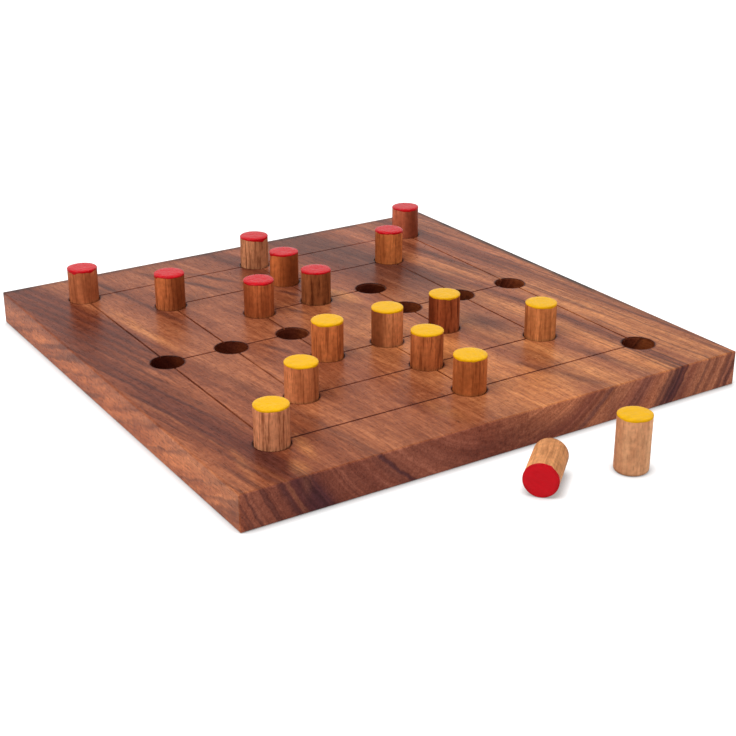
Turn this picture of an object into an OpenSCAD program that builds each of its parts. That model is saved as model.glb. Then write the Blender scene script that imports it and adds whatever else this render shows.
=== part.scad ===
// Nine mens morris: one wooden plank with three scribed squares and 24 blind holes,
// and two sets of nine dowel pegs, dipped in red and in yellow paint at one end.
// Millimetres. Origin at the middle of the plank's underside, +Z up.
// X runs along the end grain edge, Y along the grain.

/* [Board] */
// Width of the plank, across its grain
board_w = 240; // [210:1:320]
// Length of the plank, along its grain
board_l = 240; // [210:1:320]
// Thickness of the plank
board_t = 15.4; // [11:0.1:25]
// Radius that the plank's edges are sanded to
edge_r = 0.8; // [0.3:0.1:2]

/* [Points and lines] */
// Distance between neighbouring squares, and from the middle to the inner square
pitch = 30.2; // [20:0.1:32]
// Depth of the blind hole at each point
hole_depth = 7.5; // [5:0.1:9]
// Width of the chamfer at a hole's mouth
mouth_chamfer = 0.2; // [0.1:0.1:0.8]
// Width of a scribed line at the plank's face
line_w = 1.0; // [0.5:0.1:2]
// Depth of a scribed line
line_depth = 0.8; // [0.4:0.1:1.5]

/* [Pegs] */
// Diameter of the dowel that the pegs are sawn from
peg_d = 13.8; // [10:0.1:16]
// Length of a peg, paint included
peg_l = 23.6; // [18:0.1:32]
// How much longer or shorter than that a peg may be sawn
saw_error = 0.7; // [0:0.1:1.2]
// Play between a peg and the wall of its hole, on the radius
peg_play = 0.25; // [0.1:0.05:0.6]
// Rounding of a peg's painted end
crown_r = 0.6; // [0.2:0.1:1.2]
// Rounding of a peg's plain end
foot_r = 0.9; // [0.2:0.1:1.5]

/* [Paint] */
// Thickness of the dried paint over a peg's end
paint_t = 0.3; // [0.2:0.05:0.6]
// Thickness of the paint on a peg's side
paint_side = 0.05; // [0.05:0.05:0.2]
// How far the paint runs down a peg's side
paint_lap = 0.9; // [0.6:0.1:3]

/* [Loose pegs] */
// Place of the standing yellow peg along the plank's front face
standing_x = 28.4; // [-90:0.1:90]
// Distance of its centre from the front face
standing_gap = 36.3; // [15:0.1:60]
// Place of the lying red peg's plain end along the front face
lying_x = 2.4; // [-90:0.1:90]
// Distance of that end's centre from the front face
lying_gap = 20; // [12:0.1:60]
// Turn of the lying peg's painted end away from the +X direction, in degrees
lying_turn = 221.4; // [190:0.1:350]

/* [Hidden] */
$fn = 64;

SETS = ["red", "yellow"];
PEGS_PER_SET = 9;

board_colour = "#8f4f30";
dowel_colour = "#b97a4a";
paint_colours = ["#d3122c", "#fcc42d"];

hole_d = peg_d + 2 * peg_play;
hole_floor = board_t - hole_depth;
cut_over = 1;

// The eight points of a square, by column and row: corners and the middles of its sides
corners = [[-1, -1], [1, -1], [1, 1], [-1, 1]];
mids = [[0, -1], [1, 0], [0, 1], [-1, 0]];
rings = [1, 2, 3];

// The seated pegs: ring, column, row, and the share of the saw's error in each length
red_seats = [
    [3, -1, 1, -0.4], [2, -1, 1, 0.4], [1, -1, 1, 0.4],
    [3, 0, 1, -0.9], [2, 0, 1, -0.3], [1, 0, 1, -0.5],
    [3, 1, 1, -0.6], [2, 1, 1, 0.5]
];
yellow_seats = [
    [3, -1, -1, 0.4], [2, -1, -1, -0.9], [1, -1, -1, 0.9],
    [3, 0, -1, -0.7], [2, 0, -1, -0.4], [1, 0, -1, 0.3],
    [2, 1, -1, -0.4], [1, 1, -1, 0.6]
];

// A peg's spot: the centre of its plain end, its tilt and turn, and its length
function seat_spot(seat) = [
    pitch * seat[0] * [seat[1], seat[2], 0] + [0, 0, hole_floor],
    [0, 0, 0],
    peg_l + seat[3] * saw_error
];
lying_spot = [
    [lying_x, -board_l / 2 - lying_gap, peg_d / 2 + paint_side], [0, 90, lying_turn], peg_l
];
standing_spot = [[standing_x, -board_l / 2 - standing_gap, 0], [0, 0, 0], peg_l];
spots = [
    concat([for (seat = red_seats) seat_spot(seat)], [lying_spot]),
    concat([for (seat = yellow_seats) seat_spot(seat)], [standing_spot])
];

// A rectangle with rounded corners, centred
module eased_rect(w, h) {
    square([w - 2 * edge_r, h], center = true);
    square([w, h - 2 * edge_r], center = true);
    for (x = [-1, 1], y = [-1, 1])
        translate([x * (w / 2 - edge_r), y * (h / 2 - edge_r)]) circle(edge_r);
}

// The plank before it is drilled and scribed, every edge sanded round
module plank() {
    intersection() {
        linear_extrude(board_t) eased_rect(board_w, board_l);
        translate([0, 0, board_t / 2]) rotate([90, 0, 0])
            linear_extrude(board_l, center = true) eased_rect(board_w, board_t);
        translate([0, 0, board_t / 2]) rotate([90, 0, 90])
            linear_extrude(board_w, center = true) eased_rect(board_l, board_t);
    }
}

// A drilled point: a flat bottomed blind hole with a small chamfer at its mouth
module drilled_point(ring, at) {
    translate(pitch * ring * [at[0], at[1], 0] + [0, 0, hole_floor]) {
        cylinder(d = hole_d, h = hole_depth + cut_over);
        translate([0, 0, hole_depth - mouth_chamfer])
            cylinder(
                r1 = hole_d / 2,
                r2 = hole_d / 2 + mouth_chamfer + cut_over,
                h = mouth_chamfer + cut_over
            );
    }
}

// A V shaped line scribed from one point to another, given in plan
module scribed_line(from, to) {
    run = to - from;
    slope = line_w / 2 / line_depth;
    top = line_depth + cut_over;
    translate([from[0], from[1], board_t - line_depth])
        rotate([90, 0, atan2(run[1], run[0]) + 90])
            linear_extrude(norm(run))
                polygon([[0, 0], [slope * top, top], [-slope * top, top]]);
}

module board() {
    color(board_colour)
        difference() {
            plank();
            for (ring = rings, at = concat(corners, mids)) drilled_point(ring, at);
            for (ring = rings, side = [0 : 3])
                scribed_line(pitch * ring * corners[side], pitch * ring * corners[(side + 1) % 4]);
            for (at = mids) scribed_line(pitch * rings[0] * at, pitch * rings[2] * at);
        }
}

// Half the section of a round bar that stands on z = 0, with both of its ends rounded
module bar_section(r, l, top_r, bottom_r) {
    square([r - max(top_r, bottom_r), l]);
    translate([0, bottom_r]) square([r, l - bottom_r - top_r]);
    square([r - bottom_r, l / 2]);
    translate([0, l / 2]) square([r - top_r, l / 2]);
    translate([r - bottom_r, bottom_r]) circle(bottom_r);
    translate([r - top_r, l - top_r]) circle(top_r);
}

// The bare wooden dowel of a peg that is l long with its paint
module dowel(l) {
    rotate_extrude() bar_section(peg_d / 2, l - paint_t, crown_r, foot_r);
}

module peg(spot) {
    color(dowel_colour) translate(spot[0]) rotate(spot[1]) dowel(spot[2]);
}

// The dipped coat of paint on a peg's end
module paint(spot, colour) {
    l = spot[2];
    color(colour)
        translate(spot[0]) rotate(spot[1])
            difference() {
                rotate_extrude()
                    difference() {
                        bar_section(peg_d / 2 + paint_side, l, crown_r + paint_side, foot_r);
                        square([peg_d, l - paint_lap]);
                    }
                dowel(l);
            }
}

board();
for (s = [0 : len(SETS) - 1], n = [1 : PEGS_PER_SET]) {
    peg(spots[s][n - 1]);
    paint(spots[s][n - 1], paint_colours[s]);
}
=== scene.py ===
from math import atan2, cos, pi, radians, sin

import bpy
import numpy as np
from mathutils import Matrix, Vector


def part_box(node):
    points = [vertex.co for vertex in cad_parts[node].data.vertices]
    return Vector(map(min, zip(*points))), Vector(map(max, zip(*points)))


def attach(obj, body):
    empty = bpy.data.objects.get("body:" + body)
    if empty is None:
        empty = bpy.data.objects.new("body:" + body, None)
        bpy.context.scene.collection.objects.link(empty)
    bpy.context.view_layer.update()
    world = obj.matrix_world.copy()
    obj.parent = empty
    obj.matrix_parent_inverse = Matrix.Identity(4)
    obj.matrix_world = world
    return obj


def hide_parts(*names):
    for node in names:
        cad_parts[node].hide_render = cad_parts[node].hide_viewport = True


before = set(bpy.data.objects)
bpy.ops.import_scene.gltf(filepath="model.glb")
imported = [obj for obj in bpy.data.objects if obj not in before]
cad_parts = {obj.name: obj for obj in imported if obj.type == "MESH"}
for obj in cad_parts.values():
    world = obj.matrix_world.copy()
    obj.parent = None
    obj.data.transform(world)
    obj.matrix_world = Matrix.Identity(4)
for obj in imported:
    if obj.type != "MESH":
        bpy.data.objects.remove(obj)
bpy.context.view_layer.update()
mm = 0.001
white = (1, 1, 1, 1)
noiseSpan = (0.3, 0.7)  # where most of a noise's values lie


# An sRGB hex colour as the linear colour with alpha that a socket takes
def linear(hexColour):
    channels = [int(hexColour[i:i + 2], 16) / 255 for i in (1, 3, 5)]
    return (*(c / 12.92 if c <= 0.04045 else ((c + 0.055) / 1.055) ** 2.4 for c in channels), 1.0)


# Adds one node. Values go to its live inputs in order, and `sockets` go to inputs by name. A node or
# a socket is linked and anything else is set. `stops` fills a colour ramp; other settings are the
# node's own.
def addNode(tree, kind, *values, sockets=None, stops=None, **settings):
    node = tree.nodes.new("ShaderNode" + kind)
    for name, value in settings.items():
        setattr(node, name, value)
    live = [socket for socket in node.inputs if socket.enabled]
    pairs = list(zip(live, values)) + [(node.inputs[name], v) for name, v in (sockets or {}).items()]
    for socket, value in pairs:
        if isinstance(value, bpy.types.Node):
            value = next(output for output in value.outputs if output.enabled)
        if isinstance(value, bpy.types.NodeSocket):
            tree.links.new(value, socket)
        elif value is not None:
            socket.default_value = value
    if stops:
        elements = node.color_ramp.elements
        elements.remove(elements[1])
        elements[0].position, elements[0].color = stops[0]
        for position, colour in stops[1:]:
            elements.new(position).color = colour
    return node


# Factors that turn millimetres into lumps of a given size, for a noise of scale 1
def perLump(size):
    return tuple(1 / length for length in size)


def newMaterial(name):
    material = bpy.data.materials.new(name)
    material.use_nodes = True
    material.node_tree.nodes.clear()
    return material, material.node_tree


def newObject(name, data):
    thing = bpy.data.objects.new(name, data)
    bpy.context.scene.collection.objects.link(thing)
    return thing


def dress(piece, material):
    piece.data.materials.clear()
    piece.data.materials.append(material)


# The camera stands low in front of the plank's left corner. Distances are in millimetres.
view = {
    "lens": 69.67,
    "azimuth": -32.56,
    "elevation": 23.29,
    "distance": 592.84,
    "target": (-22.83, -50.53, 15.4),
}


# The direction towards a spot at an azimuth and an elevation round the object, in degrees
def towards(azimuth, elevation):
    a, e = radians(azimuth), radians(elevation)
    return Vector((sin(a) * cos(e), -cos(a) * cos(e), sin(e)))


# Puts a camera or a lamp away from its target and turns it to look back there
def aim(thing, away, distance, target):
    thing.location = target + away * distance
    thing.rotation_euler = (-away).to_track_quat("-Z", "Y").to_euler()


def placeCamera():
    data = bpy.data.cameras.new("camera")
    data.lens = view["lens"]
    data.clip_start, data.clip_end = 0.01, 20
    camera = newObject("camera", data)
    away = towards(view["azimuth"], view["elevation"])
    aim(camera, away, view["distance"] * mm, Vector(view["target"]) * mm)
    bpy.context.scene.camera = camera
    bpy.context.scene.view_settings.view_transform = "Standard"


placeCamera()
print("camera placed")


# A wide soft lamp on the left and a weaker one on the right, in a white studio. The floor is lifted to
# white for the eye, except in a narrow soft shadow where something touches it. The backdrop is white up
# to above the camera's view and darker higher up, so the oiled face mirrors it only faintly; matt
# surfaces get even light from all round.
light = {
    # azimuth, elevation, distance and size in metres, power in watts
    "key": (-82, 54, 0.85, 0.7, 3.9),
    "fill": (32, 34, 1.1, 1.0, 0.8),
    "roomDiffuse": 0.60,  # strength of the room's light on matt surfaces
    "backdropTop": 15,  # elevation in degrees up to which the backdrop is white
    "ceilingFrom": 46,  # elevation from which it has the strength of the ceiling
    "ceiling": 0.22,
    "floorColour": "#c8c8c8",
    "floorSize": 6.0,  # metres
    "floorBelow": 0.02,  # millimetres under the plank, so that the two don't share a plane
    "floorLift": 0.8,  # glow that makes the floor white to the eye
    "floorMirrored": 0.3,  # the same in a mirrored ray
    "contactLift": 0.2,  # the same where the shadow is deepest
    "contactReach": 5.5,  # millimetres that the contact shadow spreads
    "contactSpan": (0.46, 0.97),  # open share of the sky where it is deepest and where it ends
}


# 1 for a ray that shows the background to the eye: straight, mirrored or through glass
def shownRay(tree):
    path = addNode(tree, "LightPath").outputs
    shown = addNode(tree, "Math", path["Is Camera Ray"], path["Is Glossy Ray"], operation="MAXIMUM")
    return addNode(tree, "Math", shown, path["Is Transmission Ray"], operation="MAXIMUM")


def lightTheRoom():
    for name in ("key", "fill"):
        azimuth, elevation, distance, size, power = light[name]
        data = bpy.data.lights.new(name, "AREA")
        data.shape, data.size, data.energy = "DISK", size, power
        aim(newObject(name, data), towards(azimuth, elevation), distance, Vector())

    world = bpy.data.worlds.new("room")
    bpy.context.scene.world = world
    world.use_nodes = True
    tree = world.node_tree
    tree.nodes.clear()
    upwards = addNode(tree, "SeparateXYZ", addNode(tree, "TexCoord").outputs["Generated"])
    fromSine, toSine = (sin(radians(light[edge])) for edge in ("backdropTop", "ceilingFrom"))
    backdrop = addNode(tree, "MapRange", upwards.outputs["Z"], fromSine, toSine, 1.0,
                       light["ceiling"], interpolation_type="SMOOTHSTEP")
    strength = addNode(tree, "Mix", shownRay(tree), light["roomDiffuse"], backdrop)
    addNode(tree, "OutputWorld", addNode(tree, "Background", white, strength))


def layFloor():
    half = light["floorSize"] / 2
    corners = [(-half, -half, 0), (half, -half, 0), (half, half, 0), (-half, half, 0)]
    mesh = bpy.data.meshes.new("floor")
    mesh.from_pydata(corners, [], [(0, 1, 2, 3)])
    floor = newObject("floor", mesh)
    floor.location.z = -light["floorBelow"] * mm
    material, tree = newMaterial("matt white paper")
    paper = addNode(tree, "BsdfDiffuse", linear(light["floorColour"]))
    straight = addNode(tree, "LightPath").outputs["Is Camera Ray"]
    touch = addNode(tree, "AmbientOcclusion", sockets={"Distance": light["contactReach"] * mm},
                    samples=16)
    clear = addNode(tree, "MapRange", touch.outputs["AO"], *light["contactSpan"],
                    light["contactLift"], light["floorLift"])
    lift = addNode(tree, "Mix", straight, light["floorMirrored"], clear)
    lifted = addNode(tree, "AddShader", paper, addNode(tree, "Emission", white, lift))
    addNode(tree, "OutputMaterial", addNode(tree, "MixShader", shownRay(tree), paper, lifted))
    dress(floor, material)


lightTheRoom()
layFloor()
print("light and floor placed")


# The plank is one wide board of oiled rain tree wood, sawn a little below the heart. All lengths are in
# millimetres. A growth ring's radius is the distance from the heart's line, which ran above the board.
plankWood = {
    "heartAbove": 53.6,  # height of the heart above the face, at the board's middle
    "heartSlope": 0.018,  # how much higher it runs per mm towards the back
    "heartSide": -20.5,  # how far it runs to the right
    "heartSkew": -0.160,  # how much further to the right per mm towards the back
    "heartBend": -0.00016,  # and how that skew changes per mm
    "taper": -0.00044,  # the rings lie wider apart towards the back
    # lumps in which the rings wander and shiver: size, how far they move, detail
    "wander": [((35, 120, 35), (3.0, 0, 2.0), 2.0), ((4, 14, 4), (2.2, 0, 1.4), 3.0)],
    "tones": {
        "honey": "#ce7e4b", "amber": "#bf7547", "russet": "#aa6340", "chestnut": "#9c5738",
        "walnut": "#935034", "umber": "#773b27", "plum": "#73402f", "rose": "#b06544",
        "streak": "#482422", "purple": "#4c2a2c", "sap": "#d4864e", "flank": "#c46b3d",
        "pore": "#3c1e14",
    },
    "rampFrom": 45, "rampTo": 165,  # the ring radii that the bands lie between
    "sideBlend": 18,  # the left and right bands meet over this much on each side of the heart
    "backBlend": (-45, 55),  # and the front and back ones between these
    # ring radius and tone, outwards, for the four quarters of the face
    "leftFront": [(50, "chestnut"), (60, "chestnut"), (75, "russet"), (80, "russet"), (84, "chestnut"),
                  (90, "walnut"), (95, "chestnut"), (100, "chestnut"), (106, "umber"), (114, "umber"),
                  (119, "walnut"), (124, "chestnut"), (130, "russet")],
    "leftBack": [(50, "russet"), (65, "walnut"), (72, "russet"), (78, "russet"), (82, "umber"),
                 (106, "umber"), (112, "walnut"), (125, "russet")],
    "rightFront": [(50, "amber"), (59, "honey"), (64, "honey"), (70, "chestnut"), (78, "amber"),
                   (84, "amber"), (90, "russet"), (95, "russet"), (101, "honey"), (106, "amber"),
                   (111, "walnut"), (115, "chestnut"), (122, "amber"), (134, "amber"),
                   (140, "russet"), (150, "amber")],
    "rightBack": [(50, "walnut"), (57, "chestnut"), (63, "umber"), (70, "rose"), (76, "walnut"),
                  (84, "umber"), (88, "plum"), (102, "plum"), (108, "walnut"), (116, "rose"),
                  (120, "rose"), (126, "walnut"), (132, "rose"), (138, "walnut"), (142, "umber"),
                  (147, "rose"), (153, "russet"), (160, "rose")],
    # streaks that follow a ring: side of the heart, ring radius, half width, from y, to y, tone, depth
    # on the face, depth on the end
    "ringStreaks": [
        (-1, 110.4, 5.4, -135, -20, "purple", 0.12, 0.45),
        (-1, 109.0, 1.2, -135, 60, "streak", 0.25, 0.4),
        (-1, 115.8, 0.8, -135, -20, "sap", 0.1, 0.25),
        (-1, 118.6, 1.0, -135, 10, "streak", 0.28, 0.35),
        (-1, 104.5, 1.0, -60, 60, "streak", 0.4, 0.2),
        (-1, 81.4, 3.2, -135, -25, "plum", 0.35, 0.3),
        (-1, 80.6, 0.9, -135, -50, "purple", 0.3, 0.7),
        (-1, 87.6, 1.0, -115, -15, "streak", 0.25, 0.2),
        (-1, 65.3, 1.0, 35, 112, "streak", 0.55, 0.5),
        (-1, 113.0, 2.0, 40, 125, "plum", 0.4, 0.5),
        (-1, 87.0, 1.2, 5, 125, "streak", 0.5, 0.5),
        (-1, 91.2, 0.7, -10, 125, "streak", 0.45, 0.5),
        (-1, 94.8, 1.0, -20, 125, "streak", 0.45, 0.5),
        (-1, 99.0, 0.8, -25, 110, "streak", 0.4, 0.4),
        (-1, 82.8, 0.8, 0, 125, "streak", 0.35, 0.4),
        (1, 111.4, 3.2, -110, 40, "plum", 0.25, 0.2),
        (1, 110.8, 1.0, -135, 50, "streak", 0.25, 0.3),
        (1, 109.2, 4.2, -135, -95, "purple", 0.05, 0.4),
        (1, 114.6, 0.8, -135, -80, "sap", 0.3, 0.4),
        (1, 76.6, 1.3, -135, -60, "purple", 0.2, 0.55),
        (1, 79.0, 0.8, -135, -90, "sap", 0.3, 0.4),
        (1, 93.3, 2.4, -135, -60, "plum", 0.35, 0.4),
        (1, 124.7, 1.2, 18, 85, "streak", 0.25, 0.4),
        (1, 140.6, 1.8, 10, 100, "umber", 0.5, 0.4),
        (1, 139.4, 1.0, -125, 100, "streak", 0.2, 0.3),
    ],
    "streakEdge": (1.45, 0.3),  # shares of the half width at which a streak starts and is full
    "streakFade": (10, 14, 2),  # how it fades at its front end, its back end and at the heart
    # soft patches: middle, half sizes, turn in degrees, tone, depth
    "patches": [
        ((-41, 85, 0), (2.1, 33, 60), -28, "streak", 0.75),
        ((-27, 84, 0), (2.2, 19, 60), -32, "streak", 0.75),
        ((-6, 45, 0), (1.9, 9, 60), -27, "streak", 0.75),
        ((-8, 107, 0), (6, 15, 60), -35, "plum", 0.9),
        ((-15, 22, 0), (1.8, 10, 60), -24, "streak", 0.6),
        ((-45.6, -10, 0), (2.0, 13, 60), -24, "streak", 0.6),
        ((-30, -86, 0), (2.6, 18, 60), -28, "umber", 0.45),
        ((-16, -84, 0), (2.2, 14, 60), -28, "umber", 0.4),
        ((41, -97, 0), (3.2, 29, 60), -24, "plum", 0.75),
        ((69, -98, 0), (2.6, 26, 60), -18, "plum", 0.65),
        ((101, 59, 0), (3.2, 36, 60), -13, "umber", 0.7),
        ((39, 98, 0), (13, 26, 60), -16, "plum", 0.8),
        ((48, 62, 0), (11, 26, 60), -18, "plum", 0.75),
        ((60, 24, 0), (9, 28, 60), -18, "plum", 0.5),
        ((51, -36, 0), (9, 20, 60), -8, "plum", 0.95),
        ((-84, 43, 0), (3.5, 34, 60), -6, "sap", 0.5),
        ((78, 36, 0), (9, 36, 60), -16, "sap", 0.45),
        ((34, -103, 0), (20, 14, 30), -6, "sap", 0.6),
        ((76, -104, 10), (9, 14, 12), -4, "sap", 0.6),
        ((-8, -66, 0), (7, 34, 60), -2, "umber", 0.3),
        ((100, -60, 0), (10, 40, 60), -8, "honey", 0.4),
        ((-99, -102, 14), (5.2, 18, 14), 11, "streak", 0.6),
        ((-82, -100, 14), (3.2, 13, 12), 11, "sap", 0.5),
        ((-108, -100, 14), (2.4, 16, 12), 11, "sap", 0.25),
        ((-92, -113, 14), (4, 8, 12), 11, "sap", 0.5),
        ((12, 29, 14), (7, 13, 14), -14, "sap", 0.95),
        ((3, -1, 14), (8, 14, 14), 30, "umber", 0.4),
        ((80, -113, 14), (10, 7, 12), 0, "sap", 0.5),
        ((16, -93, 14), (8, 8, 14), 0, "sap", 0.35),
        ((-20, -101, 14), (5, 15, 14), -8, "sap", 0.35),
        ((-100, 103, 14), (6, 24, 14), -6, "umber", 0.4),
        ((-89, -121, 2), (8, 9, 9), -30, "purple", 0.35),
        ((84, -121, 6), (8, 9, 8), 30, "purple", 0.4),
        ((2, -121, 4), (34, 6, 9), 0, "umber", 0.65),
        ((-122, 20, 4), (8, 190, 12), 0, "flank", 0.95),
    ],
    "patchEdge": (1.3, 0.2),  # shares of its half sizes at which a patch starts and is full
    # fine dark lines along the rings: spacing and length, the noise they show at, and their depth from
    # the first of two ring radii to the second
    "fineLines": (1.9, 90, 1), "fineShows": (0.52, 0.66),
    "fineRings": (88, 108), "fineDepth": (0.12, 0.5),
    # figure along the rings: spacing across, length along the grain, how far it swings
    "figure": [(7.0, 110, 0.15), (2.2, 55, 0.20), (1.0, 24, 0.16)],
    # size of a lump, detail and roughness of its noise, how far it swings
    "fibre": ((0.9, 12, 0.9), 2.0, 0.7, 0.20),  # coarser than real fibres, so that they show
    "mottle": ((1.613, 1.613, 1.613), 3.0, 0.7, 0.20),
    "curl": ((16, 3.4, 16), 2.0, 0.5, 0.08),  # the grain's slope ripples: faint bars across the board
    # flecks on the sanded side: spacing and length, depth, swing, and painted shade that makes it darker
    # low down and lighter towards the face, between two heights
    "fleck": (2.0, 9, 1), "fleckDepth": 0.3, "fleckSwing": 0.45, "paintedSideShade": (2, 13, -0.4, 0.9),
    "redder": (0.9, 1.2, 1.25),  # powers of the shade in red, green and blue
    "poreCell": (0.8, 8, 0.8), "poreReach": (0.30, 0.12), "poreDepth": 0.42,
    "squareTo": (0.5, 0.9),  # how much a normal lies along an axis for a face to count as square to it
    # the drilling's pitch, radius of a chamfered hole and depth of a line, as the part has them
    "pitch": 30.2, "mouth": 7.35, "lineDepth": 0.8,
    "outline": 2,  # the board's rounded edges are no cuts
    "cutSpan": (0.02, 0.12),  # how far below the face a cut starts to darken, and is dark
    "pressed": 22.22,  # the lines and the painted edge shade vary over lumps of this size
    "pressedSpan": (0.35, 0.6),  # their noise, from where a line was pressed least to where most
    "faint": 0.35,  # how much lighter a line is where it was pressed least
    "paintedLightBack": (20, 90, 0.3),  # and painted light: how much lighter lines are towards the back
    "holeShadeWidth": 0.8,  # width of the ring of painted shade round a hole
    # painted shade along the right and back edges of the face: where it starts, where it is full, its
    # depth
    "edgeShadeRight": (4.4, 1.8, 1.0), "edgeShadeBack": (4.8, 2.0, 0.65),
    "edgeShadeBelow": (1.6, 0.6),  # how far below the face it ends, and is full
    "edgeShadeFront": (-115, -40),  # it fades out between these towards the front
    "edgeShadeSwing": (1.0, 0.5),  # and varies along the edge
    # factors on the wood's linear colour
    "endTint": (0.90, 0.87, 1.22, 1.0), "cutTint": (0.34, 0.22, 0.18, 1.0),
    "holeShadeTint": (0.30, 0.18, 0.14, 1.0), "edgeShadeTint": (0.10, 0.11, 0.13, 1.0),
    "roughness": (0.25, 0.38), "poreRoughness": 0.3, "shine": 0.12, "relief": 0.1,
}


# Rain tree wood, planed, sanded and oiled: wide soft bands of honey, brown and purplish brown along the
# grain, dark ring streaks, long open pores, a mottled shimmer and a satin film of oil. The end grain
# drinks more oil and is darker. The scribed lines are burnished nearly black, and the drilled walls are
# darkened nearly black with painted shade. Painted shade also rings each hole, lines the right and back
# edges of the face and darkens the sanded side low down; painted light makes the lines lighter towards
# the back.
def makePlankWood():
    wood = plankWood
    tones = {name: linear(value) for name, value in wood["tones"].items()}
    material, tree = newMaterial("oiled rain tree plank")
    rightEdge, backEdge, top = (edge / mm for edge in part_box("board")[1])
    coords = addNode(tree, "TexCoord")
    exact = addNode(tree, "VectorMath", coords.outputs["Object"], (1 / mm,) * 3, operation="MULTIPLY")
    exactX, exactY, exactZ = addNode(tree, "SeparateXYZ", exact).outputs

    moved = exact
    for size, swing, detail in wood["wander"]:
        place = addNode(tree, "VectorMath", exact, perLump(size), operation="MULTIPLY")
        noise = addNode(tree, "TexNoise", sockets={"Vector": place, "Scale": 1.0, "Detail": detail})
        centred = addNode(tree, "VectorMath", noise.outputs["Color"], (0.5, 0.5, 0.5),
                          operation="SUBTRACT")
        moved = addNode(tree, "VectorMath", centred, swing, moved, operation="MULTIPLY_ADD")
    x, y, z = addNode(tree, "SeparateXYZ", moved).outputs

    # The heart's line is a curve in plan and a slope in height. `aside` is how far to the right of it
    # a point is, and `under` how far below it.
    spread = addNode(tree, "Math", y, wood["taper"], 1.0, operation="MULTIPLY_ADD")
    spreadX = addNode(tree, "Math", spread, x, operation="MULTIPLY")
    skew = addNode(tree, "Math", y, wood["heartBend"], wood["heartSkew"], operation="MULTIPLY_ADD")
    heartX = addNode(tree, "Math", skew, y, wood["heartSide"], operation="MULTIPLY_ADD")
    heartZ = addNode(tree, "Math", y, wood["heartSlope"], wood["heartAbove"] + top,
                     operation="MULTIPLY_ADD")
    aside = addNode(tree, "Math", spreadX, heartX, operation="SUBTRACT")
    under = addNode(tree, "Math", heartZ, z, operation="SUBTRACT")
    fromHeart = addNode(tree, "CombineXYZ", aside, under, 0.0)
    ring = addNode(tree, "VectorMath", fromHeart, operation="LENGTH").outputs["Value"]
    right = addNode(tree, "MapRange", aside, -wood["sideBlend"], wood["sideBlend"],
                    interpolation_type="SMOOTHSTEP")
    backward = addNode(tree, "MapRange", y, *wood["backBlend"], interpolation_type="SMOOTHSTEP")

    # The four quarters' bands, blended into each other
    length = wood["rampTo"] - wood["rampFrom"]
    span = addNode(tree, "MapRange", ring, wood["rampFrom"], wood["rampTo"])
    ramps = []
    for corner in ("leftFront", "leftBack", "rightFront", "rightBack"):
        stops = [((radius - wood["rampFrom"]) / length, tones[tone]) for radius, tone in wood[corner]]
        ramps.append(addNode(tree, "ValToRGB", span, stops=stops))
    leftSide = addNode(tree, "Mix", backward, ramps[0], ramps[1], data_type="RGBA")
    rightSide = addNode(tree, "Mix", backward, ramps[2], ramps[3], data_type="RGBA")
    colour = addNode(tree, "Mix", right, leftSide, rightSide, data_type="RGBA")

    # End grain drinks more oil, so the streaks are deeper there than on the face
    facing = addNode(tree, "VectorMath", coords.outputs["Normal"], operation="ABSOLUTE")
    facing = addNode(tree, "SeparateXYZ", facing)
    endGrain = addNode(tree, "MapRange", facing.outputs["Y"], *wood["squareTo"])
    startsAt, fullAt = wood["streakEdge"]
    frontFade, backFade, heartFade = wood["streakFade"]
    for side, radius, halfWidth, fromY, toY, tone, onFace, onEnd in wood["ringStreaks"]:
        gap = addNode(tree, "Math", ring, radius, operation="SUBTRACT")
        gap = addNode(tree, "Math", gap, operation="ABSOLUTE")
        line = addNode(tree, "MapRange", gap, halfWidth * startsAt, halfWidth * fullAt,
                       interpolation_type="SMOOTHSTEP")
        for part in (addNode(tree, "MapRange", y, fromY - frontFade, fromY + frontFade),
                     addNode(tree, "MapRange", y, toY + backFade, toY - backFade),
                     addNode(tree, "MapRange", aside, -heartFade * side, heartFade * side),
                     addNode(tree, "Mix", endGrain, onFace, onEnd)):
            line = addNode(tree, "Math", line, part, operation="MULTIPLY")
        colour = addNode(tree, "Mix", line, colour, tones[tone], data_type="RGBA")

    for middle, halfSizes, turn, tone, strength in wood["patches"]:
        spot = addNode(tree, "Mapping", moved, middle, (0, 0, -radians(turn)), halfSizes,
                       vector_type="TEXTURE")
        away = addNode(tree, "VectorMath", spot, operation="LENGTH").outputs["Value"]
        mask = addNode(tree, "MapRange", away, *wood["patchEdge"], 0.0, strength,
                       interpolation_type="SMOOTHSTEP")
        colour = addNode(tree, "Mix", mask, colour, tones[tone], data_type="RGBA")

    # Fine dark lines, mostly in the outer rings
    onRings = addNode(tree, "CombineXYZ", ring, y, right)
    place = addNode(tree, "VectorMath", onRings, perLump(wood["fineLines"]), operation="MULTIPLY")
    lines = addNode(tree, "TexNoise", sockets={"Vector": place, "Scale": 1.0, "Detail": 1.0})
    lineMask = addNode(tree, "MapRange", lines.outputs["Fac"], *wood["fineShows"])
    outer = addNode(tree, "MapRange", ring, *wood["fineRings"], *wood["fineDepth"])
    lineMask = addNode(tree, "Math", lineMask, outer, operation="MULTIPLY")
    colour = addNode(tree, "Mix", lineMask, colour, tones["streak"], data_type="RGBA")

    # Figure that follows the rings, from soft bands to single streaks, and differs on the two sides of
    # the heart; then fibres, mottling and curl
    layers = [(onRings, (across, along, 1 / (7 + across)), 2.0, 0.6, swing)
              for across, along, swing in wood["figure"]]
    layers += [(moved, *wood["fibre"]), (exact, *wood["mottle"]), (moved, *wood["curl"])]
    shade, noises = 1.0, []
    for coordinates, size, detail, roughness, swing in layers:
        place = addNode(tree, "VectorMath", coordinates, perLump(size), operation="MULTIPLY")
        noise = addNode(tree, "TexNoise", sockets={
            "Vector": place, "Scale": 1.0, "Detail": detail, "Roughness": roughness,
        }).outputs["Fac"]
        layer = addNode(tree, "MapRange", noise, *noiseSpan, 1 - swing, 1 + swing)
        shade = addNode(tree, "Math", shade, layer, operation="MULTIPLY")
        noises.append(noise)
    fibre, mottle = noises[-3:-1]
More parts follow.
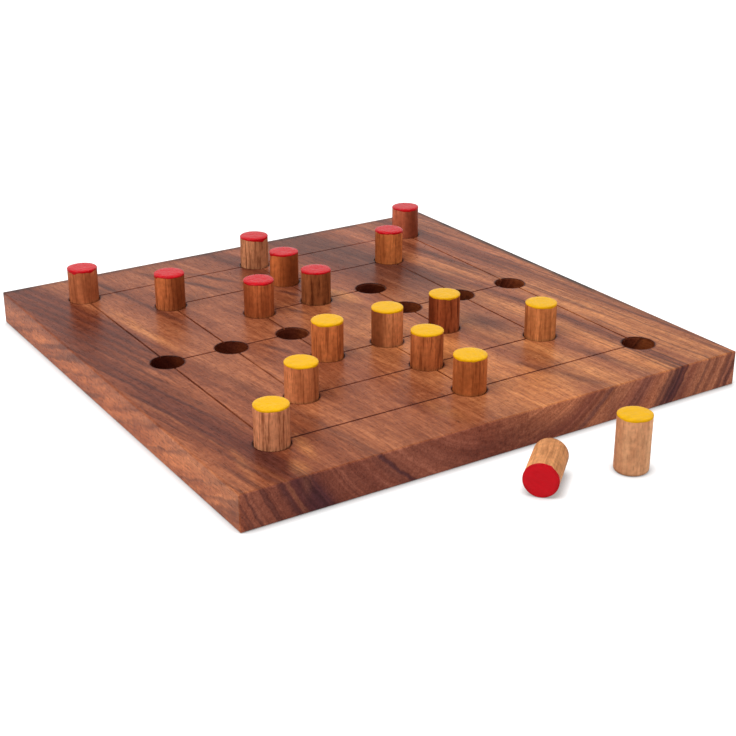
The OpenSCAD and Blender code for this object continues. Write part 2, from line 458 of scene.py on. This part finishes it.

    # The sanded side cuts the rings at a slant and shows short flecks; painted shade makes it darker low
    # down and lighter towards the face
    flecked = addNode(tree, "MapRange", facing.outputs["X"], *wood["squareTo"], 0.0, wood["fleckDepth"])
    place = addNode(tree, "VectorMath", addNode(tree, "CombineXYZ", ring, y, 3.0),
                    perLump(wood["fleck"]), operation="MULTIPLY")
    fleck = addNode(tree, "TexNoise", sockets={"Vector": place, "Scale": 1.0, "Detail": 2.0})
    swell = addNode(tree, "MapRange", fleck.outputs["Fac"], *noiseSpan, -wood["fleckSwing"],
                    wood["fleckSwing"])
    # painted shade by height on the side: darker low down, lighter towards the face
    swell = addNode(tree, "Math", swell, addNode(tree, "MapRange", exactZ, *wood["paintedSideShade"]),
                    operation="ADD")
    swell = addNode(tree, "Math", flecked, swell, 1.0, operation="MULTIPLY_ADD")
    shade = addNode(tree, "Math", shade, swell, operation="MULTIPLY")

    # Darker wood is also redder: green and blue fall faster than red
    falls = [addNode(tree, "Math", shade, power, operation="POWER") for power in wood["redder"]]
    shaded = addNode(tree, "VectorMath", colour, addNode(tree, "CombineXYZ", *falls),
                     operation="MULTIPLY")

    # Pores: threads along the grain, 0.3 mm wide and about 5 mm long on the face, dots on the end grain
    place = addNode(tree, "VectorMath", moved, perLump(wood["poreCell"]), operation="MULTIPLY")
    cells = addNode(tree, "TexVoronoi", sockets={"Vector": place, "Scale": 1.0})
    pore = addNode(tree, "MapRange", cells.outputs["Distance"], *wood["poreReach"], 0.0,
                   wood["poreDepth"])
    colour = addNode(tree, "Mix", pore, shaded, tones["pore"], data_type="RGBA")
    colour = addNode(tree, "Mix", endGrain, colour, wood["endTint"], data_type="RGBA",
                     blend_type="MULTIPLY")

    # Cut below the face and away from the outline: the holes, darkened with painted shade, and the
    # lines, burnished dark and pressed in unevenly, with painted light making them lighter towards the
    # back
    offMiddle = addNode(tree, "VectorMath", exact, operation="ABSOLUTE")
    offX, offY = addNode(tree, "SeparateXYZ", offMiddle).outputs[:2]
    widest = addNode(tree, "Math", offX, offY, operation="MAXIMUM")
    pressed = addNode(tree, "TexNoise", sockets={
        "Vector": exact, "Scale": 1 / wood["pressed"], "Detail": 1.0,
    }).outputs["Fac"]
    backFrom, backTo, paintedBackLight = wood["paintedLightBack"]
    lighter = addNode(tree, "Math", addNode(tree, "MapRange", y, backFrom, backTo, 0.0, paintedBackLight),
                      addNode(tree, "MapRange", pressed, *wood["pressedSpan"], wood["faint"], 0.0),
                      operation="ADD")
    lineFloor = top - wood["lineDepth"] - 0.1  # with a little to spare
    inLine = addNode(tree, "Math", exactZ, lineFloor, operation="GREATER_THAN")
    lighter = addNode(tree, "Math", lighter, inLine, operation="MULTIPLY")
    cut = addNode(tree, "Math", widest, rightEdge - wood["outline"], operation="LESS_THAN")
    cutFrom, cutFull = wood["cutSpan"]
    for part in (addNode(tree, "MapRange", exactZ, top - cutFrom, top - cutFull),
                 addNode(tree, "Math", exactZ, 1.0, operation="GREATER_THAN"),  # not the underside
                 addNode(tree, "Math", 1.0, lighter, operation="SUBTRACT")):
        cut = addNode(tree, "Math", cut, part, operation="MULTIPLY")
    # painted shade on the hole walls and burnish in the lines, by the same factor
    colour = addNode(tree, "Mix", cut, colour, wood["cutTint"], data_type="RGBA",
                     blend_type="MULTIPLY")

    # Painted shade: a narrow dark ring round each hole, standing in for the pegs' contact shadow. The
    # holes are the points of a square grid on its middle lines and diagonals, where `lane` is 0, but not
    # the one in its middle.
    pitch = wood["pitch"]
    nearest = [addNode(tree, "Math", off, -pitch / 2, pitch / 2, operation="WRAP")
               for off in (offX, offY)]
    fromHole = addNode(tree, "VectorMath", addNode(tree, "CombineXYZ", *nearest), operation="LENGTH")
    diagonal = addNode(tree, "Math", offX, offY, operation="SUBTRACT")
    diagonal = addNode(tree, "Math", diagonal, operation="ABSOLUTE")
    lane = addNode(tree, "Math", addNode(tree, "Math", offX, offY, operation="MINIMUM"), diagonal,
                   operation="MINIMUM")
    mouth = wood["mouth"]
    holeShade = addNode(tree, "MapRange", fromHole.outputs["Value"], mouth + wood["holeShadeWidth"], mouth)
    for part in (addNode(tree, "Math", lane, 1.5 * mouth, operation="LESS_THAN"),
                 addNode(tree, "Math", widest, 0.66 * pitch, operation="GREATER_THAN"),
                 addNode(tree, "Math", widest, 3.4 * pitch, operation="LESS_THAN"),
                 addNode(tree, "Math", exactZ, top - 0.3, operation="GREATER_THAN")):
        holeShade = addNode(tree, "Math", holeShade, part, operation="MULTIPLY")
    colour = addNode(tree, "Mix", holeShade, colour, wood["holeShadeTint"], data_type="RGBA",
                     blend_type="MULTIPLY")

    # Painted shade along the right and back edges of the face: an uneven soft dark line about 3 mm wide
    edgeShade = 0.0
    for off, edge, (start, full, depth) in ((exactX, rightEdge, wood["edgeShadeRight"]),
                                            (exactY, backEdge, wood["edgeShadeBack"])):
        along = addNode(tree, "MapRange", off, edge - start, edge - full, 0.0, depth)
        edgeShade = addNode(tree, "Math", edgeShade, along, operation="MAXIMUM")
    edgeShadeFrom, edgeShadeFull = wood["edgeShadeBelow"]
    for part in (addNode(tree, "MapRange", exactZ, top - edgeShadeFrom, top - edgeShadeFull),
                 addNode(tree, "MapRange", exactY, *wood["edgeShadeFront"]),
                 addNode(tree, "MapRange", pressed, *wood["pressedSpan"], *wood["edgeShadeSwing"])):
        edgeShade = addNode(tree, "Math", edgeShade, part, operation="MULTIPLY")
    colour = addNode(tree, "Mix", edgeShade, colour, wood["edgeShadeTint"], data_type="RGBA",
                     blend_type="MULTIPLY")

    rough = addNode(tree, "MapRange", mottle, *noiseSpan, *wood["roughness"])
    rough = addNode(tree, "Math", pore, wood["poreRoughness"], rough, operation="MULTIPLY_ADD")
    relief = addNode(tree, "Math", fibre, pore, operation="SUBTRACT")
    bump = addNode(tree, "Bump",
                   sockets={"Strength": 0.5, "Distance": wood["relief"] * mm, "Height": relief})
    skin = addNode(tree, "BsdfPrincipled", sockets={
        "Base Color": colour, "Roughness": rough, "Normal": bump,
        "IOR": 1.45, "Specular IOR Level": wood["shine"],
    })
    addNode(tree, "OutputMaterial", skin)
    return material


dress(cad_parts["board"], makePlankWood())
print("plank finished")


# A closed skin turned round an axis. `radius` and `height` are arrays of profile rows by angles: a
# point is (radius cos angle, radius sin angle, height), carried by `place`. The first and last row
# shrink to a pole.
def turnedSkin(name, radius, height, place):
    rows, columns = radius.shape
    angle = np.arange(columns) * 2 * pi / columns
    skin = np.stack([radius * np.cos(angle), radius * np.sin(angle), height], axis=-1)
    poles = np.array([[0, 0, height[0].mean()], [0, 0, height[-1].mean()]])
    points = np.concatenate([skin[1:-1].reshape(-1, 3), poles])
    points = points @ np.array(place.to_3x3()).T + np.array(place.translation)
    here = np.arange(columns)
    after = (here + 1) % columns
    start = np.arange(rows - 3)[:, None] * columns
    quads = np.stack([start + here, start + after, start + columns + after, start + columns + here],
                     axis=-1)
    last = (rows - 3) * columns
    foot = np.stack([np.full(columns, last + columns), after, here], axis=-1)
    head = np.stack([np.full(columns, last + columns + 1), last + here, last + after], axis=-1)
    faces = quads.reshape(-1, 4).tolist() + foot.tolist() + head.tolist()
    mesh = bpy.data.meshes.new(name)
    mesh.from_pydata(points * mm, [], faces)
    mesh.polygons.foreach_set("use_smooth", np.ones(len(faces), bool))
    mesh.update()
    return newObject(name, mesh)


# A quarter round from one direction to another, as offsets from its centre
def quarter(fromDegrees, toDegrees, size, steps):
    angle = np.radians(np.linspace(fromDegrees, toDegrees, steps))
    return size * np.cos(angle), size * np.sin(angle)


# The dowels. Lengths are in millimetres.
dowels = {
    "columns": 96,  # points round a peg
    "footRound": 0.9, "topRound": 0.8,
    "swell": ((2, 0.02), (3, 0.012), (4, 0.008)),  # waves round the dowel, and their heights
    "wave": 0.01, "waveTurn": 0.35,  # a wave along it: height, and radians per millimetre
    "sanded": 0.03,  # taken off all over
    "footWorn": 0.12, "footUneven": 0.6, "footReach": 0.8,  # and off the foot, how unevenly, how far up
    # factors on each peg's tone
    "dark": (0.38, 0.28, 0.24), "brown": (0.84, 0.80, 0.78), "pale": (1.40, 1.46, 1.50),
    "shift": (1.7, 0.9, 2.3),  # each peg reads another spot of the noise: mm per degree of its turn
    "broad": (4, 4, 25), "broadSpan": (0.34, 0.66),  # the broad figure's lumps, from brown to pale
    "bandSpan": (0.55, 0.95), "bandWander": 0.6,  # the dark band, a quarter of the way round
    "streak": (1.0, 1.0, 16), "streakSpan": (0.50, 0.64),  # dark streaks under 1 mm wide
    "poreCell": (0.8, 0.8, 5), "poreReach": (0.30, 0.14), "poreDepth": 0.25,
    "spots": 2.0, "spotSwing": 0.14,  # oil that soaked in unevenly
    # from one height to another: darker at the sanded foot, and painted light that makes the wood paler
    # towards the paint
    "shades": ((0.3, 1.6, 0.6, 1.0), (14.0, 23.0, 1.0, 1.18)),
    "roughness": (0.42, 0.52), "shine": 0.05, "relief": 0.08,
    # each peg's own wood: tone, how strong its dark streaks are, the turn of its figure in degrees,
    # then the direction in degrees and the depth of the dark band that heartwood leaves along one side
    "red": [
        ("#b46640", 0.4, 20, 172, 0.15), ("#ae5f35", 0.7, 75, -68, 0.65),
        ("#ad5c33", 0.5, 130, 172, 0.5), ("#c2815a", 0.8, 200, -60, 0.3),
        ("#b26033", 0.4, 250, -80, 0.7), ("#91532f", 1.0, 300, -100, 0.3),
        ("#b86346", 0.6, 40, -82, 0.75), ("#c06c3a", 0.6, 95, 168, 0.4),
        ("#d28f5c", 0.35, 150, 30, 0.3),
    ],
    "yellow": [
        ("#d48a62", 0.9, 10, -65, 0.4), ("#c5764a", 0.6, 60, -45, 0.3),
        ("#bb693a", 0.6, 110, 60, 0.4), ("#ba6838", 0.6, 160, 168, 0.35),
        ("#b5663a", 0.8, 220, -35, 0.35), ("#c67c4e", 0.6, 270, 184, 0.95),
        ("#cb7f4b", 0.6, 330, 168, 0.4), ("#9a4f2d", 0.9, 30, 162, 0.95),
        ("#e4a074", 0.25, 80, 188, 0.3),
    ],
}
angles = np.arange(dowels["columns"]) * 2 * pi / dowels["columns"]


# The sawn and sanded dowel: up the side from a rounded foot to a rounded top. Its radius swells and
# shrinks by a few hundredths of a millimetre round the dowel, and its sawn ends are a little uneven.
def makeDowel(name, place, wood, radius, chance):
    footRound, topRound = dowels["footRound"], dowels["topRound"]
    outX, outZ = quarter(-90, 0, footRound, 7)
    upX, upZ = quarter(0, 90, topRound, 6)
    footDisc = np.linspace(0.2, 0.98, 6) * (radius - footRound)
    topDisc = np.linspace(0.95, 0.1, 5) * (radius - topRound)
    side = np.linspace(footRound + 0.3, wood - topRound - 0.3, 14)
    r = np.concatenate([[0], footDisc, radius - footRound + outX, np.full(side.size, radius),
                        radius - topRound + upX, topDisc, [0]])
    z = np.concatenate([np.zeros(1 + footDisc.size), footRound + outZ, side,
                        wood - topRound + upZ, np.full(topDisc.size + 1, wood)])[:, None]
    phases = chance.uniform(0, 2 * pi, 4)
    swell = sum(np.sin(k * angles + phases[k - 1]) * size for k, size in dowels["swell"])
    wave = np.sin(z * dowels["waveTurn"] + phases[3]) * dowels["wave"]
    uneven = 1 + np.sin(2 * angles + phases[0]) * dowels["footUneven"]
    worn = dowels["footWorn"] * uneven * np.exp(-z / dowels["footReach"])
    away = (r / radius)[:, None]
    skin = r[:, None] + away * (swell + wave - dowels["sanded"]) - away * worn
    return turnedSkin(name, skin, z + 0 * angles, place)


# A peg's own coordinates in millimetres: up its axis from its foot, turned round it by an angle
def pegCoords(tree, place, turn):
    turned = (place @ Matrix.Rotation(radians(turn), 4, "Z")).to_euler()
    return addNode(tree, "Mapping", addNode(tree, "TexCoord").outputs["Object"],
                   place.translation * mm, turned, (mm,) * 3, vector_type="TEXTURE")


# Oiled hardwood dowel, sawn and sanded: streaks and fine open pores that run along the peg, a dark band
# on one side, and an unevenly worn satin surface. It is darker at the foot, and painted light makes it
# paler towards the paint.
def makeDowelWood(name, place, radius, tone, streaks, turn, bandTurn, bandDepth):
    material, tree = newMaterial(name)
    base = linear(tone)
    dark, brown, pale = ((*(min(c * k, 1) for c, k in zip(base, dowels[tint])), 1.0)
                         for tint in ("dark", "brown", "pale"))
    local = pegCoords(tree, place, turn)
    shifted = addNode(tree, "VectorMath", local, tuple(turn * step for step in dowels["shift"]),
                      operation="ADD")
    inLumps = addNode(tree, "VectorMath", shifted, perLump(dowels["broad"]), operation="MULTIPLY")
    broad = addNode(tree, "TexNoise", sockets={"Vector": inLumps, "Scale": 1.0, "Detail": 2.0})
    broad = broad.outputs["Fac"]
    figure = addNode(tree, "MapRange", broad, *dowels["broadSpan"])
    colour = addNode(tree, "Mix", figure, brown, pale, data_type="RGBA")

    # The dark band, with edges that wander
    bandAngle = radians(bandTurn - turn)
    facing = (cos(bandAngle) / radius, sin(bandAngle) / radius, 0.0)
    toBand = addNode(tree, "VectorMath", local, facing, operation="DOT_PRODUCT").outputs["Value"]
    wander = addNode(tree, "Math", broad, 0.5, operation="SUBTRACT")
    wander = addNode(tree, "Math", wander, dowels["bandWander"], toBand, operation="MULTIPLY_ADD")
    band = addNode(tree, "MapRange", wander, *dowels["bandSpan"], 0.0, bandDepth,
                   interpolation_type="SMOOTHSTEP")
    colour = addNode(tree, "Mix", band, colour, dark, data_type="RGBA")

    # Streaks about 15 mm long, and pores 0.2 mm wide and about 3 mm long
    inLumps = addNode(tree, "VectorMath", shifted, perLump(dowels["streak"]), operation="MULTIPLY")
    streak = addNode(tree, "TexNoise", sockets={
        "Vector": inLumps, "Scale": 1.0, "Detail": 3.0, "Roughness": 0.6, "Distortion": 0.2,
    }).outputs["Fac"]
    streakMask = addNode(tree, "MapRange", streak, *dowels["streakSpan"], 0.0, streaks)
    colour = addNode(tree, "Mix", streakMask, colour, dark, data_type="RGBA")
    inLumps = addNode(tree, "VectorMath", shifted, perLump(dowels["poreCell"]), operation="MULTIPLY")
    cells = addNode(tree, "TexVoronoi", sockets={"Vector": inLumps, "Scale": 1.0})
    pore = addNode(tree, "MapRange", cells.outputs["Distance"], *dowels["poreReach"], 0.0,
                   dowels["poreDepth"] * (1 + streaks))
    colour = addNode(tree, "Mix", pore, colour, dark, data_type="RGBA")

    spots = addNode(tree, "TexNoise", sockets={
        "Vector": shifted, "Scale": 1 / dowels["spots"], "Detail": 2.0,
    })
    swing = dowels["spotSwing"]
    shade = addNode(tree, "MapRange", spots.outputs["Fac"], *noiseSpan, 1 - swing, 1 + swing)
    height = addNode(tree, "SeparateXYZ", local).outputs["Z"]
    # by height: darker at the foot, and painted light that pales the wood towards the paint
    for span in dowels["shades"]:
        shade = addNode(tree, "Math", shade, addNode(tree, "MapRange", height, *span),
                        operation="MULTIPLY")
    colour = addNode(tree, "VectorMath", colour, operation="SCALE", sockets={"Scale": shade})
    relief = addNode(tree, "Math", streak, pore, operation="SUBTRACT")
    bump = addNode(tree, "Bump",
                   sockets={"Strength": 0.5, "Distance": dowels["relief"] * mm, "Height": relief})
    rough = addNode(tree, "MapRange", broad, *noiseSpan, *dowels["roughness"])
    skin = addNode(tree, "BsdfPrincipled", sockets={
        "Base Color": colour, "Roughness": rough, "Normal": bump,
        "IOR": 1.45, "Specular IOR Level": dowels["shine"],
    })
    addNode(tree, "OutputMaterial", skin)
    return material


# The dipped coats. Lengths are in millimetres, widths of drips in radians.
coats = {
    # the two colours at the middle and at the rim; how far the paint laps down the side, how far a drip
    # runs below that, and how far the end slumps
    "red": {"paint": "#d80f1e", "rim": "#c40614", "shine": 0.13,
            "lap": 1.0, "drip": 0.9, "slump": 0.3},
    "yellow": {"paint": "#fabd06", "rim": "#f0b008", "shine": 0.08,
               "lap": 0.85, "drip": 0.4, "slump": 0.2},
    "end": 0.3, "side": 0.05,  # thickness over the end and on the side
    "rimRound": 0.42, "slumpWidth": 2.4,
    "lapWaves": ((1, 0.16), (2, 0.12), (5, 0.10), (11, 0.05)), "shortestLap": 0.78,
    "dripWidths": (0.16, 0.10, 0.22),
    "slumpWaves": (0.7, 0.3, 0.12),  # mean slump, one-sided tilt and three-fold wave
    "film": 0.012, "bead": 0.6, "beadFrom": 0.3, "rimFade": 6,  # thin film, then a bead at the edge
    "insideWood": 0.15, "insideEnd": 0.6,  # the coat's inner wall and lid lie this deep in the wood
    "uneven": 3.571,  # size of the lumps in which the paint's thickness varies
    "rimWander": 4.0, "rimSpan": (0.9, 2.4),
    "grain": (1.4, 6, 6), "grainSwing": (0.93, 1.04),  # soft lines of end grain below
    "roughness": 0.26, "relief": 0.1,
}


# The dipped coat: over the end, where it slumps a little towards the rim, more on one side than on the
# other, round the rim, down the side to a wavy beaded edge, and back inside the wood's surface, so that
# the coat is a closed shell
def makeCoat(name, place, whole, radius, style, chance):
    rimRound = coats["rimRound"]
    outer = radius + coats["side"]
    phases = chance.uniform(0, 2 * pi, 7)
    waves = sum(size * np.sin(k * angles + phase)
                for (k, size), phase in zip(coats["lapWaves"], phases))
    lap = style["lap"] * (1 + waves)
    for middle, width in zip(phases[4:], coats["dripWidths"]):
        turn = np.angle(np.exp(1j * (angles - middle)))
        lap = lap + style["drip"] * chance.uniform(0.3, 1.0) * np.exp(-(turn / width) ** 2)
    lap = np.maximum(lap, coats["shortestLap"])
    mean, tilt, threefold = coats["slumpWaves"]
    slump = style["slump"] * (mean + tilt * np.sin(angles + phases[1])
                              + threefold * np.sin(3 * angles + phases[2]))
    upX, upZ = quarter(72, 0, rimRound, 8)
    reach = outer - rimRound + upX[0]
    flat = np.linspace(0, 1, 18)[:, None] * reach
    fall = np.clip((flat - reach) / coats["slumpWidth"] + 1, 0, 1) ** 2 * slump
    share = np.linspace(0, 1, 7)[:, None]
    sideTop = whole - slump - upZ[0]
    sideZ = sideTop + share * (whole - lap - sideTop)
    intoBead = np.clip((share - coats["beadFrom"]) / (1 - coats["beadFrom"]), 0, 1)
    film = coats["film"] + coats["bead"] * np.clip(np.sin(intoBead * pi), 0, 1)
    side = radius + coats["side"] * np.clip(film + np.exp(-share * coats["rimFade"]), 0, 1)
    inner = radius - coats["insideWood"] + 0 * angles[None]
    lid = whole - coats["insideEnd"] + 0 * angles[None]
    rows = [
        (flat + 0 * angles, whole - 0.005 - fall),  # just inside the part's own height
        ((outer - rimRound + upX)[1:, None] + 0 * angles, sideTop + upZ[1:, None]),
        (side[1:] + 0 * angles, sideZ[1:]),
        (inner, sideZ[-1:] + 0.02),  # the edge turns up a little
        (inner, lid),
        (0 * inner, lid),
    ]
    r = np.concatenate([row[0] for row in rows])
    z = np.concatenate([row[1] for row in rows])
    return turnedSkin(name, r[::-1], z[::-1], place)


# Glossy dipped enamel: thicker at the rim, where its colour is deeper, with the end grain below
# telegraphing through
def makeEnamel(name, place, radius, style, turn):
    material, tree = newMaterial(name)
    local = pegCoords(tree, place, turn)
    axes = addNode(tree, "SeparateXYZ", local)
    flat = addNode(tree, "CombineXYZ", axes.outputs["X"], axes.outputs["Y"], 0.0)
    out = addNode(tree, "VectorMath", flat, operation="LENGTH").outputs["Value"]
    uneven = addNode(tree, "TexNoise", sockets={
        "Vector": local, "Scale": 1 / coats["uneven"], "Detail": 2.0,
    }).outputs["Fac"]
    wander = addNode(tree, "Math", uneven, coats["rimWander"], out, operation="MULTIPLY_ADD")
    rimFrom, rimTo = coats["rimSpan"]
    rimMask = addNode(tree, "MapRange", wander, radius + rimFrom, radius + rimTo)
    colour = addNode(tree, "Mix", rimMask, linear(style["paint"]), linear(style["rim"]),
                     data_type="RGBA")
    grainPlace = addNode(tree, "VectorMath", local, perLump(coats["grain"]), operation="MULTIPLY")
    grain = addNode(tree, "TexNoise", sockets={
        "Vector": grainPlace, "Scale": 1.0, "Detail": 2.0,
    }).outputs["Fac"]
    tone = addNode(tree, "MapRange", grain, *noiseSpan, *coats["grainSwing"])
    colour = addNode(tree, "VectorMath", colour, operation="SCALE", sockets={"Scale": tone})
    relief = addNode(tree, "Math", uneven, 5.0, grain, operation="MULTIPLY_ADD")
    bump = addNode(tree, "Bump",
                   sockets={"Strength": 0.5, "Distance": coats["relief"] * mm, "Height": relief})
    skin = addNode(tree, "BsdfPrincipled", sockets={
        "Base Color": colour, "Roughness": coats["roughness"], "Normal": bump,
        "IOR": 1.5, "Specular IOR Level": style["shine"],
    })
    addNode(tree, "OutputMaterial", skin)
    return material


# Where a peg stands or lies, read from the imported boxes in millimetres: the turn and foot of its axis,
# which points at the painted end, then its whole length, the length of its wood and its radius
def pegPlace(colour, number):
    woodLow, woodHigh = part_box(f"{colour}_peg_{number}")
    paintLow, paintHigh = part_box(f"{colour}_paint_{number}")
    axis = ((paintLow + paintHigh) - (woodLow + woodHigh)).normalized()
    standingLow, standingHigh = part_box("yellow_peg_9")
    radius = (standingHigh.x - standingLow.x) / 2 / mm
    if axis.z > 0.9:
        wood = (woodHigh.z - woodLow.z) / mm
        foot = Vector(((woodLow.x + woodHigh.x) / 2, (woodLow.y + woodHigh.y) / 2, woodLow.z)) / mm
        turn = Matrix.Identity(4)
    else:
        wood = (standingHigh.z - standingLow.z) / mm
        low = Vector(map(min, woodLow, paintLow))
        high = Vector(map(max, woodHigh, paintHigh))
        foot = (low + high) / 2 / mm - axis * (wood + coats["end"]) / 2
        turn = Matrix.Rotation(atan2(axis.y, axis.x), 4, "Z") @ Matrix.Rotation(pi / 2, 4, "Y")
    return Matrix.Translation(foot) @ turn, wood + coats["end"], wood, radius


def makePegs():
    for colour in ("red", "yellow"):
        style = coats[colour]
        for number, (tone, streaks, turn, *band) in enumerate(dowels[colour], 1):
            chance = np.random.default_rng([number, len(colour)])
            body = f"{colour}_peg_{number}"
            place, whole, wood, radius = pegPlace(colour, number)
            dowel = makeDowel(f"{body}_dowel", place, wood, radius, chance)
            dress(dowel, makeDowelWood(f"oiled hardwood dowel {colour} {number}", place, radius,
                                       tone, streaks, turn, *band))
            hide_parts(body)
            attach(dowel, body)
            coat = makeCoat(f"{body}_coat", place, whole, radius, style, chance)
            dress(coat, makeEnamel(f"dipped {colour} enamel {number}", place, radius, style, turn))
            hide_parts(f"{colour}_paint_{number}")
            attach(coat, body)


makePegs()
print("pegs finished")
